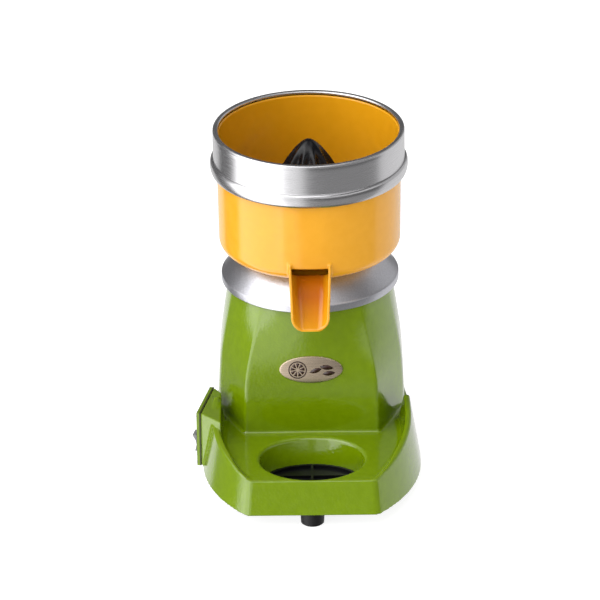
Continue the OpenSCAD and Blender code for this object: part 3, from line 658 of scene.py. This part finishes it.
REAMER_TOP, REAMER_LOW, REAMER_R, RIBS = 308.4, 243.0, 35.0, 10
GROOVE_DEPTH, GROOVE_FADE = 0.2, 16
FLANGE_R, FLANGE_LOW, FLANGE_TOP = 26.6, 241, 246
STEM_R, STEM_LOW, STEM_BORE_R, BORE_TOP = 12, 222, 7.05, 262.3
HOLLOW_IN_R, HOLLOW_OUT_R, HOLLOW_ROOF = 15, 21.7, 262
SLOT_HALF_L, SLOT_HALF_W, SLOT_TOP = 10.6, 2.8, 233.8


def reamer_field(x, y, z):
    """A ribbed dome on a flange, hollow below, and a stem with a slot for the drive pin."""
    r = np.hypot(x, y)
    turn = np.arctan2(y, x)
    level = np.clip((REAMER_TOP - z) / (REAMER_TOP - REAMER_LOW), 1e-4, 1)
    profile = REAMER_R * np.sin(level * math.pi / 2) ** 0.66
    groove = (np.abs(np.sin(RIBS * turn / 2)) + 1e-6) ** 1.4
    fade = smooth((REAMER_TOP - z - 2) / GROOVE_FADE)
    dome = (r - profile * (1 - GROOVE_DEPTH * groove * fade)) * 0.8
    dome = both(both(dome, REAMER_LOW - z, 0.8), z - (REAMER_TOP - 0.4), 0.8)
    shape = either(dome, rod(x, y, z, FLANGE_R, FLANGE_LOW, FLANGE_TOP, 0.4), 0.5)
    hollow = np.maximum(np.maximum(HOLLOW_IN_R - r, r - HOLLOW_OUT_R),
                        np.maximum(z - HOLLOW_ROOF, FLANGE_LOW - 1 - z))
    shape = np.maximum(shape, -hollow)
    shape = either(shape, rod(x, y, z, STEM_R, STEM_LOW, 250, 0.6), 0.6)
    shape = np.maximum(shape, -rod(x, y, z, STEM_BORE_R, STEM_LOW - 12, BORE_TOP))
    slot = np.maximum(np.maximum(np.abs(x) - SLOT_HALF_L, np.abs(y) - SLOT_HALF_W),
                      np.maximum(z - SLOT_TOP, STEM_LOW - 12 - z))
    return np.maximum(shape, -slot)


def reamer():
    p, n, quads = iso_surface(reamer_field, (-37, -37, 220), (37, 37, 311.5), 0.85)
    return piece("reamer_skin", p, quads, "reamer", BLACK_GLOSS, ["reamer"], n)


# ---------------------------------------------------------------- collar and badge

LIP_R, LIP_LOW, LIP_TOP, COLLAR_DECK_R, LINING_R = 82.7, TOWER_TOP, 175.8, 62.0, 73.7
COLLAR_BORE_R, COLLAR_CHIMNEY_R, COLLAR_CHIMNEY_TOP, COLLAR_SHEET = 12, 14.5, 206, 3
PILLAR_R, PILLAR_CIRCLE, PILLAR_TURNS = 5, 58, (90, 210, 330)


def collar():
    """A lip, a cone up to a flat deck and a short chimney, on three pillars."""
    under = BOWL_Z - COLLAR_SHEET
    profile = [(SEAT_R, LIP_LOW)]
    profile += arc(LIP_R - 1.2, LIP_LOW + 1.2, 1.2, -90, 0, 6)
    profile += arc(LIP_R - 1.5, LIP_TOP - 1.5, 1.5, 0, 62, 8) + [(LIP_R - 1.6, LIP_TOP + 0.5)]
    profile += arc(COLLAR_DECK_R - 0.6, BOWL_Z - 1.6, 1.6, 37, 90, 6)
    profile += [(COLLAR_CHIMNEY_R + 0.8, BOWL_Z), (COLLAR_CHIMNEY_R, BOWL_Z + 0.8)]
    profile += arc(COLLAR_CHIMNEY_R - 0.8, COLLAR_CHIMNEY_TOP - 0.8, 0.8, 0, 90, 4)
    profile += [(COLLAR_BORE_R, COLLAR_CHIMNEY_TOP), (COLLAR_BORE_R, under)]
    profile += [(COLLAR_DECK_R - 2, under), (LINING_R, LIP_LOW + 5), (SEAT_R, LIP_LOW + 5)]
    parts = [revolved(profile, 240)]
    pillar = [(0.01, DECK_TOP), (PILLAR_R - 0.3, DECK_TOP), (PILLAR_R, DECK_TOP + 0.3),
              (PILLAR_R, under + 1), (0.01, under + 1)]
    for turn in np.radians(PILLAR_TURNS):
        v, f = revolved(pillar, 32)
        parts.append((v + (PILLAR_CIRCLE * math.cos(turn), PILLAR_CIRCLE * math.sin(turn), 0), f))
    v, f = joined(parts)
    return piece("collar_skin", v, f, "root", CASTING, ["collar"])


def on_badge(points):
    """From the badge's own frame (right, up its face, out of it) to the shaft's."""
    p = np.asarray(points, float)
    c, s = math.cos(BADGE_LEAN), math.sin(BADGE_LEAN)
    front = float(tower_radius(np.array(-math.pi / 2), np.array(BADGE_Z)))
    return np.stack([p[:, 0], -front + p[:, 1] * s - p[:, 2] * c, BADGE_Z + p[:, 1] * c + p[:, 2] * s], 1)


BADGE_STEPS, BADGE_RINGS, POST_X, POST_R, POST_END = 96, 14, 18, 1.5, -12
MOTIF_LOW, BORDER_TOP, MOTIF_TOP, LEAF_TOP, MOTIF_SINK = 0.9, 1.12, 1.62, 1.52, 0.45
SLICE_X, SLICE_R, SLICE_STEPS, WEDGES = -12.5, 8.6, 48, 9
LEAVES = (((-1.5, -2.6), 18, 12), ((8.0, 3.2), -8, 13), ((10.5, -4.2), 6, 12))  # foot, tilt, length


def oval(scale):
    return [(BADGE_HALF[0] * scale * math.cos(a), BADGE_HALF[1] * scale * math.sin(a))
            for a in np.arange(BADGE_STEPS) * 2 * math.pi / BADGE_STEPS]


def badge():
    """A domed oval plate with two posts behind it."""
    n = BADGE_STEPS
    levels = [(1.0, -1.5), (1.0, 0.7), (0.995, 0.9), (0.985, 1.0)]
    levels += [(r, 1.0 + BADGE_DOME * (1 - r * r)) for r in np.linspace(0.96, 0.02, BADGE_RINGS)]
    v = [(x, y, h) for r, h in levels for x, y in oval(r)]
    f = [(k * n + i, k * n + (i + 1) % n, (k + 1) * n + (i + 1) % n, (k + 1) * n + i)
         for k in range(len(levels) - 1) for i in range(n)]
    f += [tuple(range(n))[::-1], tuple(range((len(levels) - 1) * n, len(levels) * n))]
    parts = [(v, f)]
    post = [(0.01, POST_END), (POST_R, POST_END), (POST_R, -1.4), (0.01, -1.4)]
    for x in (-POST_X, POST_X):
        pv, pf = revolved(post, 24)
        parts.append((pv + (x, 0, 0), pf))
    v, f = joined(parts)
    return piece("badge_skin", on_badge(v), f, "root", MATERIALS["badge_metal"], ["badge"])


def badge_border():
    outer, inner = oval(0.972), oval(0.945)
    pairs = [(i, (i + 1) % BADGE_STEPS) for i in range(BADGE_STEPS)]
    return [prism([outer[i], outer[k], inner[k], inner[i]], MOTIF_LOW, BORDER_TOP) for i, k in pairs]


def on_slice(points, turn=0.0):
    """From (radius, angle) on the citrus slice to the badge's own frame."""
    return [(SLICE_X + r * math.cos(turn + t), r * math.sin(turn + t)) for r, t in points]


def citrus_slice():
    turns = np.arange(SLICE_STEPS) * 2 * math.pi / SLICE_STEPS
    rind = [prism(on_slice(((SLICE_R - 1.1, a), (SLICE_R, a), (SLICE_R, b), (SLICE_R - 1.1, b))),
                  MOTIF_LOW, MOTIF_TOP) for a, b in zip(turns, np.roll(turns, -1))]
    half = math.pi / WEDGES * 0.78
    outline = [(1.3, 0)] + [(6.5, t) for t in np.linspace(-half, half, 7)]
    return rind + [prism(on_slice(outline, 2 * math.pi * (i + 0.25) / WEDGES), MOTIF_LOW, MOTIF_TOP)
                   for i in range(WEDGES)]


def leaves():
    made = []
    for at, tilt, length in LEAVES:
        c, s = math.cos(math.radians(tilt)), math.sin(math.radians(tilt))
        outline = [(length * t, 2.3 * math.sin(math.pi * t) ** 0.8 * side)
                   for side, ts in ((1, np.linspace(0, 1, 10)), (-1, np.linspace(0.9, 0.1, 9)))
                   for t in ts]
        made.append(prism([(at[0] + x * c - y * s, at[1] + x * s + y * c) for x, y in outline][::-1],
                          MOTIF_LOW, LEAF_TOP))
    return made


def badge_motif():
    """A border, a generic citrus slice and leaves, standing on the badge's dome."""
    v, f = joined(badge_border() + citrus_slice() + leaves())
    lift = BADGE_DOME * (1 - (v[:, 0] / BADGE_HALF[0]) ** 2 - (v[:, 1] / BADGE_HALF[1]) ** 2)
    v[:, 2] += lift - MOTIF_SINK
    return piece("badge_motif", on_badge(v), f, "root", DARK_ENAMEL, ())


# ---------------------------------------------------------------- studio

FLOOR_REACH, AMBIENT = 6.0, 0.16

# turn from the camera's side (positive to the right), elevation, brightness, edge softness
PANELS = [
    (-100, -34, -60, 55, 2.4, 5.0),
    (-40, -6, -60, 55, 1.1, 6.0),
    (-6, 90, -60, -18, 0.22, 9.0),
    (5, 90, 12, 30, 0.8, 5.0),
    (-181, -137, -60, -12, 0.8, 4.0),
    (92, 150, -60, -4, 0.8, 5.0),
    (92, 150, -4, 35, 0.5, 5.0),
    (150, 181, -60, -12, 0.7, 4.0),
    (-125, 25, 40, 74, 2.0, 8.0),
    (25, 125, 60, 80, 1.0, 8.0),
]


def pale_floor():
    r = FLOOR_REACH
    mesh = bpy.data.meshes.new("floor")
    mesh.from_pydata([(-r, -r, 0), (r, -r, 0), (r, r, 0), (-r, r, 0)], [], [(0, 1, 2, 3)])
    floor = bpy.data.objects.new("floor", mesh)
    bpy.context.scene.collection.objects.link(floor)
    f = Finish("pale_floor", roughness=0.9, base_color=(0.45, 0.45, 0.45),
               emission_color=(1.0, 1.0, 1.0), emission_strength=0.85)
    mesh.materials.append(f.material)
    floor.visible_glossy = False


def studio():
    """A white surround for the camera, and soft panels by direction as the light."""
    scene = bpy.context.scene
    scene.view_settings.view_transform = "Standard"
    world = bpy.data.worlds.new("studio")
    scene.world = world
    world.use_nodes = True
    tree = world.node_tree
    tree.nodes.clear()
    node = functools.partial(add_node, tree)

    def calc(operation, a, b=0.0):
        return node("ShaderNodeMath", {0: a, 1: b}, operation=operation).outputs[0]

    def step(value, edge, soft):
        return node("ShaderNodeMapRange", {"Value": value, "From Min": edge - soft,
                                           "From Max": edge + soft},
                    interpolation_type="SMOOTHSTEP").outputs[0]

    def band(value, low, high, soft):
        return calc("MULTIPLY", step(value, low, soft),
                    calc("SUBTRACT", 1.0, step(value, high, soft)))

    direction = node("ShaderNodeTexCoord").outputs["Generated"]
    x, y, z = node("ShaderNodeSeparateXYZ", {0: direction}).outputs
    turn = calc("MULTIPLY", calc("ARCTAN2", x, calc("MULTIPLY", y, -1.0)), 180 / math.pi)
    lift = calc("MULTIPLY", calc("ARCSINE", z), 180 / math.pi)
    light = AMBIENT
    for turn_low, turn_high, lift_low, lift_high, power, soft in PANELS:
        panel = calc("MULTIPLY", band(turn, turn_low, turn_high, soft),
                     band(lift, lift_low, lift_high, soft))
        light = calc("ADD", light, calc("MULTIPLY", panel, power))
    ray = node("ShaderNodeLightPath").outputs["Is Camera Ray"]
    level = node("ShaderNodeMix", {"Factor": ray, "A": light, "B": 1.0}, data_type="FLOAT")
    back = node("ShaderNodeBackground", {"Color": (1, 1, 1, 1), "Strength": level.outputs[0]})
    out = node("ShaderNodeOutputWorld")
    tree.links.new(back.outputs[0], out.inputs["Surface"])


CAMERA_ELEVATION, CAMERA_AZIMUTH, CAMERA_ROLL = (math.radians(a) for a in (25.38, 0.22, -0.71))
CAMERA_DISTANCE, TARGET_LEFT, TARGET_Z = 5.6232, 9.78, 143.02


def camera():
    """Long lens at the photograph's angle, aimed a little to the left of the shaft's axis."""
    data = bpy.data.cameras.new("camera")
    data.sensor_width, data.lens = 36.0, 360.0
    data.clip_start, data.clip_end = 0.1, 100.0
    cam = bpy.data.objects.new("camera", data)
    bpy.context.scene.collection.objects.link(cam)
    level = math.cos(CAMERA_ELEVATION)
    back = Vector((math.sin(CAMERA_AZIMUTH) * level, -math.cos(CAMERA_AZIMUTH) * level,
                   math.sin(CAMERA_ELEVATION)))
    target = Vector((AXIS_X - TARGET_LEFT, AXIS_Y, TARGET_Z)) * MM
    cam.location = target + back * CAMERA_DISTANCE
    turn = (-back).to_track_quat("-Z", "Y").to_matrix()
    cam.rotation_euler = (turn @ Matrix.Rotation(CAMERA_ROLL, 3, "Z")).to_euler()
    bpy.context.scene.camera = cam


# ---------------------------------------------------------------- the whole scene

for row in frame["record"]["subparts"]:
    materials = frame["nodes"][row["node"]].data.materials
    materials.clear()
    materials.append(MATERIALS[row["material_slot"]])

casting()
bowl()
splash_ring()
reamer()
collar()
badge()
badge_motif()
frame["nodes"]["switch_gasket"].data.materials[0] = GASKET
for name, width in (("switch_plate", 0.5), ("glass_insert", 0.35), ("feet", 0.5)):
    softened(frame["nodes"][name], width)
pale_floor()
studio()
camera()
